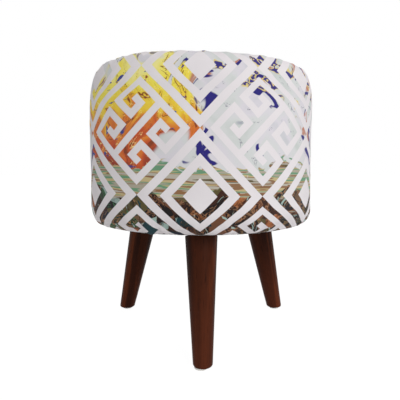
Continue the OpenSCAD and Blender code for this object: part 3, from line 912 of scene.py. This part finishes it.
def leg_tree():
    tree, size = tree_with("turned_leg", {
        "Top Diameter": LEG_TOP_D, "Foot Diameter": LEG_FOOT_D, "Foot Rounding": LEG_ROUND,
        "Top Rounding": 0.0008, "Tilt": LEG_TILT, "Ring Radius": LEG_RING_R, "Seat Height": 0.182,
        "Top Drop": LEG_TOP_DROP, "Foot Height": 0.0025, "Turn": 0.0, "Sideways": 0.0,
        "Grain Shift": 0.0, "Rings": 72, "Sides": 64, "Finish": None})
    tilt, top, sideways, seat, grain = (size[name] for name in (
        "Tilt", "Top Drop", "Sideways", "Seat Height", "Grain Shift"))
    foot = (seat - size["Foot Height"]) / tilt.math("COSINE")
    floor = seat / tilt.math("COSINE")
    # The rings of the leg lie along its axis, closer together at its ends
    share = tilt.source("SplineParameter", "Factor")
    down = top + (foot - top) * (0.5 - 0.5 * (share * math.pi).math("COSINE"))
    line = tilt.source("CurvePrimitiveLine", End=(0, 0, -1)).into("ResampleCurve", Count=size["Rings"])
    line = line.into("SetPosition", Position=xyz(0, 0, 0 - down))
    at = tilt.source("InputPosition")
    depth = 0 - at.axis("Z")
    taper = (size["Top Diameter"] - size["Foot Diameter"]) / 2 / (floor - top)
    radius = size["Top Diameter"] / 2 - (depth - top) * taper
    for distance, rounding in ((depth - top, size["Top Rounding"]),
                               (foot - depth, size["Foot Rounding"])):
        short = (rounding - distance).math("MAXIMUM", 0)
        across = (rounding * rounding - short * short).math("MAXIMUM", 0).math("SQRT")
        radius = radius - (rounding - across)
    circle = tilt.source("CurvePrimitiveCircle", Resolution=size["Sides"], Radius=1.0)
    leg = line.into("CurveToMesh", Profile_Curve=circle, Scale=radius, Fill_Caps=True)
    leg = leg.into("StoreNamedAttribute", {"data_type": "FLOAT_VECTOR", "domain": "POINT"},
                   Name="grain", Value=at.vector("ADD", xyz(grain, grain * 0.7, grain * 3)))
    # The foot is cut level with the floor
    near_foot = (depth - foot).rise(-0.030, -0.004)
    slope = at.axis("X") * tilt.math("TANGENT") + at.axis("Y") * sideways.math("TANGENT")
    leg = leg.into("SetPosition", Offset=xyz(0, 0, 0 - slope * near_foot))
    leg = leg.into("Transform", Rotation=xyz(sideways, 0 - tilt, 0),
                   Translation=xyz(size["Ring Radius"], 0, seat))
    leg = leg.into("Transform", Rotation=xyz(0, 0, size["Turn"]))
    ending(tree, leg.into("SetShadeSmooth"), size["Finish"])
    return tree


stained_walnut = finish("satin_stained_walnut", walnut,
                        ("ShaderNodeAttribute", {"attribute_name": "grain"}, 1),
                        Coat_Weight=0.03, Coat_Roughness=0.25, Specular_IOR_Level=0.03)
legs = leg_tree()
# How far each leg is turned, leans sideways and stands too upright, in degrees
OUT_OF_TRUE = {"front": (0.3, 0.6, 0.6), "rear_right": (0.0, 0.0, 0.0), "rear_left": (0.1, 0.2, 0.0)}
for number, (leg, turn) in enumerate(LEG_TURNS.items()):
    twist, sideways, upright = (math.radians(angle) for angle in OUT_OF_TRUE[leg])
    piece = grown(f"turned_leg_{leg}", legs, Turn=math.radians(turn) + twist, Sideways=sideways,
                  Tilt=LEG_TILT - upright, Grain_Shift=0.31 + 0.17 * number, Seat_Height=UNDERSIDE,
                  Foot_Height=glide_high.z, Finish=stained_walnut)
    rides(facing_out(piece), "stained_wood", f"leg_{leg}")
# ------------------------------------------------------------
# Leg plates, bolts and glides. Pressed steel plates with a slanted cup, a nut welded inside it,
# and a hanger bolt that ties the leg to it; a nylon glide is nailed under each foot.


def pressed_steel(place):
    """Zinc-plated sheet: faint spangle, rolled streaks and a few dull rubs."""
    cells = place.node("ShaderNodeTexVoronoi", {"Vector": place, "Scale": 260.0}, out="Color")
    spangle = cells.axis("X")
    streak = place.noise(500.0, 2.0, 0.0, (1.0, 0.1, 1.0))
    rub = place.noise(45.0, 3.0).rise(0.55, 0.72)
    return {"Base Color": (spangle * 0.5 + rub * 0.4).colour((188, 190, 190), (150, 152, 152)),
            "Roughness": 0.28 + 0.12 * spangle + 0.2 * rub,
            "Normal": (streak * 0.6 + spangle * 0.4).bump(0.00005)}


def nylon_moulding(place):
    """White moulded nylon: a fine spark-eroded texture, scuffed grey where it meets the floor."""
    spark = place.noise(1500.0, 3.0)
    scuff = place.noise(380.0, 3.0, 0.0, (1.0, 0.2, 1.0)).rise(0.56, 0.70)
    scuff = scuff * place.axis("Z").rise(0.0006, 0.0001)
    return {"Base Color": (scuff * 0.6 + spark * 0.12).colour((236, 234, 228), (168, 162, 152)),
            "Roughness": 0.42 + 0.2 * spark + 0.2 * scuff, "Normal": spark.bump(0.00008)}


plate_steel = finish("pressed_steel_plate", pressed_steel, Metallic=1.0)
nylon = finish("white_nylon", nylon_moulding)
for leg in LEG_TURNS:
    dress(plate_steel, "plate_steel", f"leg_plate_{leg}")
    dress(fastener_steel, "fastener_steel", f"weld_nut_{leg}", f"hanger_bolt_{leg}", f"glide_nail_{leg}")
    dress(nylon, "nylon", f"glide_{leg}")

# ------------------------------------------------------------
# Plate screws. Four pan-head wood screws hold each plate up against the base board, their
# cross recesses turned every way.

SCREW_HEAD_D, SCREW_HEAD_H = 0.0072, 0.0026


def screw_tree():
    tree, size = tree_with("plate_screws", {
        "Plates": 3, "First Turn": math.radians(30), "Plate Radius": 0.1214, "Pitch": 0.0402,
        "Height": 0.1806, "Head Diameter": SCREW_HEAD_D, "Head Height": SCREW_HEAD_H,
        "Shank Diameter": 0.004, "Length": 0.015, "Recess Width": 0.0010, "Recess Depth": 0.0014,
        "Seed": 4, "Finish": None})
    length, point, head_d, head_h, width, pitch = (size[name] for name in (
        "Length", "Shank Diameter", "Head Diameter", "Head Height", "Recess Width", "Pitch"))
    half, arm = head_d / 2, head_d * 0.58
    # The head is half a flattened ball, with the cross recess cut into it
    ball = length.source("MeshUVSphere", Segments=28, Rings=18, Radius=1.0)
    ball = ball.into("Transform", Scale=xyz(half, half, head_h))
    above = length.source("MeshCube", Size=(0.02, 0.02, 0.02))
    cuts = [above.into("Transform", Translation=(0, 0, 0.01))]
    for x, y in ((arm, width), (width, arm)):
        bar = length.source("MeshCube", Size=xyz(x, y, size["Recess Depth"] * 2))
        cuts.append(bar.into("Transform", Translation=xyz(0, 0, 0 - head_h)))
    head = ball.into("MeshBoolean", {"operation": "DIFFERENCE", "solver": "EXACT"}, Mesh_2=cuts)
    shank = length.source("MeshCylinder", Vertices=20, Radius=point / 2, Depth=length - point)
    shank = shank.into("Transform", Translation=xyz(0, 0, (length - point) / 2))
    tip = length.source("MeshCone", Vertices=20, Radius_Bottom=point / 2, Radius_Top=0.0002, Depth=point)
    tip = tip.into("Transform", Translation=xyz(0, 0, length - point))
    screw = length.source("JoinGeometry", Geometry=[tip, shank, head])
    square = length.source("MeshGrid", Size_X=pitch, Size_Y=pitch, Vertices_X=2, Vertices_Y=2)
    spin = length.node("FunctionNodeRandomValue", {2: 0.0, 3: math.pi / 2, "Seed": size["Seed"]},
                       {"data_type": "FLOAT"}, 1)
    four = square.into("InstanceOnPoints", Instance=screw, Rotation=xyz(0, 0, spin))
    ring = length.source("MeshCircle", Vertices=size["Plates"], Radius=size["Plate Radius"])
    ring = ring.into("Transform", Rotation=xyz(0, 0, size["First Turn"]),
                     Translation=xyz(0, 0, size["Height"]))
    ending(tree, ring.into("InstanceOnPoints", Instance=four, Rotation=xyz(0, 0, bearing(length))),
           size["Finish"])
    return tree


plate_low, plate_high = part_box("leg_plate_screws_front")
plate_screws = grown("plate_screws", screw_tree(), Finish=fastener_steel,
                     Plate_Radius=-(plate_low.y + plate_high.y) / 2,
                     Pitch=plate_high.x - plate_low.x - SCREW_HEAD_D,
                     Height=plate_low.z + SCREW_HEAD_H)
rides(plate_screws, "fastener_steel", *(f"leg_plate_screws_{leg}" for leg in LEG_TURNS))

# ------------------------------------------------------------
# The room. A plain white floor under even studio light from a large soft box at the front right,
# with weaker ones at the left and behind, and the camera at a third of the drum's height.


def seen_directly(tree):
    """1 for what the camera sees and what shines back from gloss and glass, 0 for light itself."""
    path = tree.nodes.new("ShaderNodeLightPath")
    rays = [Socket(tree, path.outputs[name]) for name in
            ("Is Camera Ray", "Is Glossy Ray", "Is Transmission Ray")]
    return rays[0].math("MAXIMUM", rays[1]).math("MAXIMUM", rays[2])


# What the camera sees of the floor is white paper with a faint shadow; the light that falls on it
# comes back as from a grey one
FLOOR, FLOOR_GREY, FLOOR_SHADE, FLOOR_GLOW = 12.0, 0.8, 0.10, 0.96
floor_mesh = bpy.data.meshes.new("floor")
floor_mesh.from_pydata([(-FLOOR, -FLOOR, 0), (FLOOR, -FLOOR, 0), (FLOOR, FLOOR, 0), (-FLOOR, FLOOR, 0)],
                       [], [(0, 1, 2, 3)])
floor = bpy.data.objects.new("floor", floor_mesh)
scene.collection.objects.link(floor)
white = bpy.data.materials.new("white_floor")
white.use_nodes = True
tree = white.node_tree
principled = tree.nodes["Principled BSDF"]
for name, value in (("Base Color", (FLOOR_GREY,) * 3 + (1,)), ("Roughness", 1.0),
                    ("Specular IOR Level", 0.0)):
    principled.inputs[name].default_value = value
matt = Socket(tree, principled.outputs[0])
shadow = matt.node("ShaderNodeBsdfDiffuse", {"Color": (FLOOR_SHADE,) * 3 + (1,)})
glow = matt.node("ShaderNodeEmission", {"Strength": FLOOR_GLOW})
both = matt.node("ShaderNodeAddShader", {0: shadow, 1: glow})
pick = matt.node("ShaderNodeMixShader", {0: seen_directly(tree), 1: matt, 2: both})
tree.links.new(pick.socket, tree.nodes["Material Output"].inputs["Surface"])
floor_mesh.materials.append(white)

WORLD_LIGHT = 0.55
world = bpy.data.worlds.new("studio")
scene.world = world
world.use_nodes = True
tree = world.node_tree
light = tree.nodes["Background"]
light.inputs["Color"].default_value = (1, 1, 1, 1)
level = seen_directly(tree) * (1 - WORLD_LIGHT) + WORLD_LIGHT
tree.links.new(level.socket, light.inputs["Strength"])

# Square soft boxes that face the middle of the seat: place and power
SOFT_BOX, SEAT_MIDDLE = 1.2, Vector((0, 0, 0.28))
for side, place, power in (("right", (1.1, -1.7, 1.3), 25), ("left", (-1.5, -1.2, 0.9), 0.8),
                           ("back", (0.5, 1.9, 1.2), 12)):
    lamp = bpy.data.lights.new(f"soft_box_{side}", "AREA")
    lamp.size, lamp.energy = SOFT_BOX, power
    soft_box = bpy.data.objects.new(f"soft_box_{side}", lamp)
    soft_box.location = place
    soft_box.rotation_euler = (SEAT_MIDDLE - Vector(place)).to_track_quat("-Z", "Y").to_euler()
    scene.collection.objects.link(soft_box)

# The camera's place, pitch and lens were fitted to the outline of the drum and the legs
CAMERA, LOOKING_DOWN, LENS, LENS_SHIFT = (0, -0.7115, 0.2720), 0.0794, 37.62, -0.002
lens = bpy.data.cameras.new("camera")
lens.lens, lens.sensor_width = LENS, 36
lens.shift_x, lens.clip_start = LENS_SHIFT, 0.02
camera = bpy.data.objects.new("camera", lens)
camera.location = CAMERA
camera.rotation_euler = (math.pi / 2 - LOOKING_DOWN, 0, 0)
scene.collection.objects.link(camera)
scene.camera = camera
scene.view_settings.view_transform = "Standard"
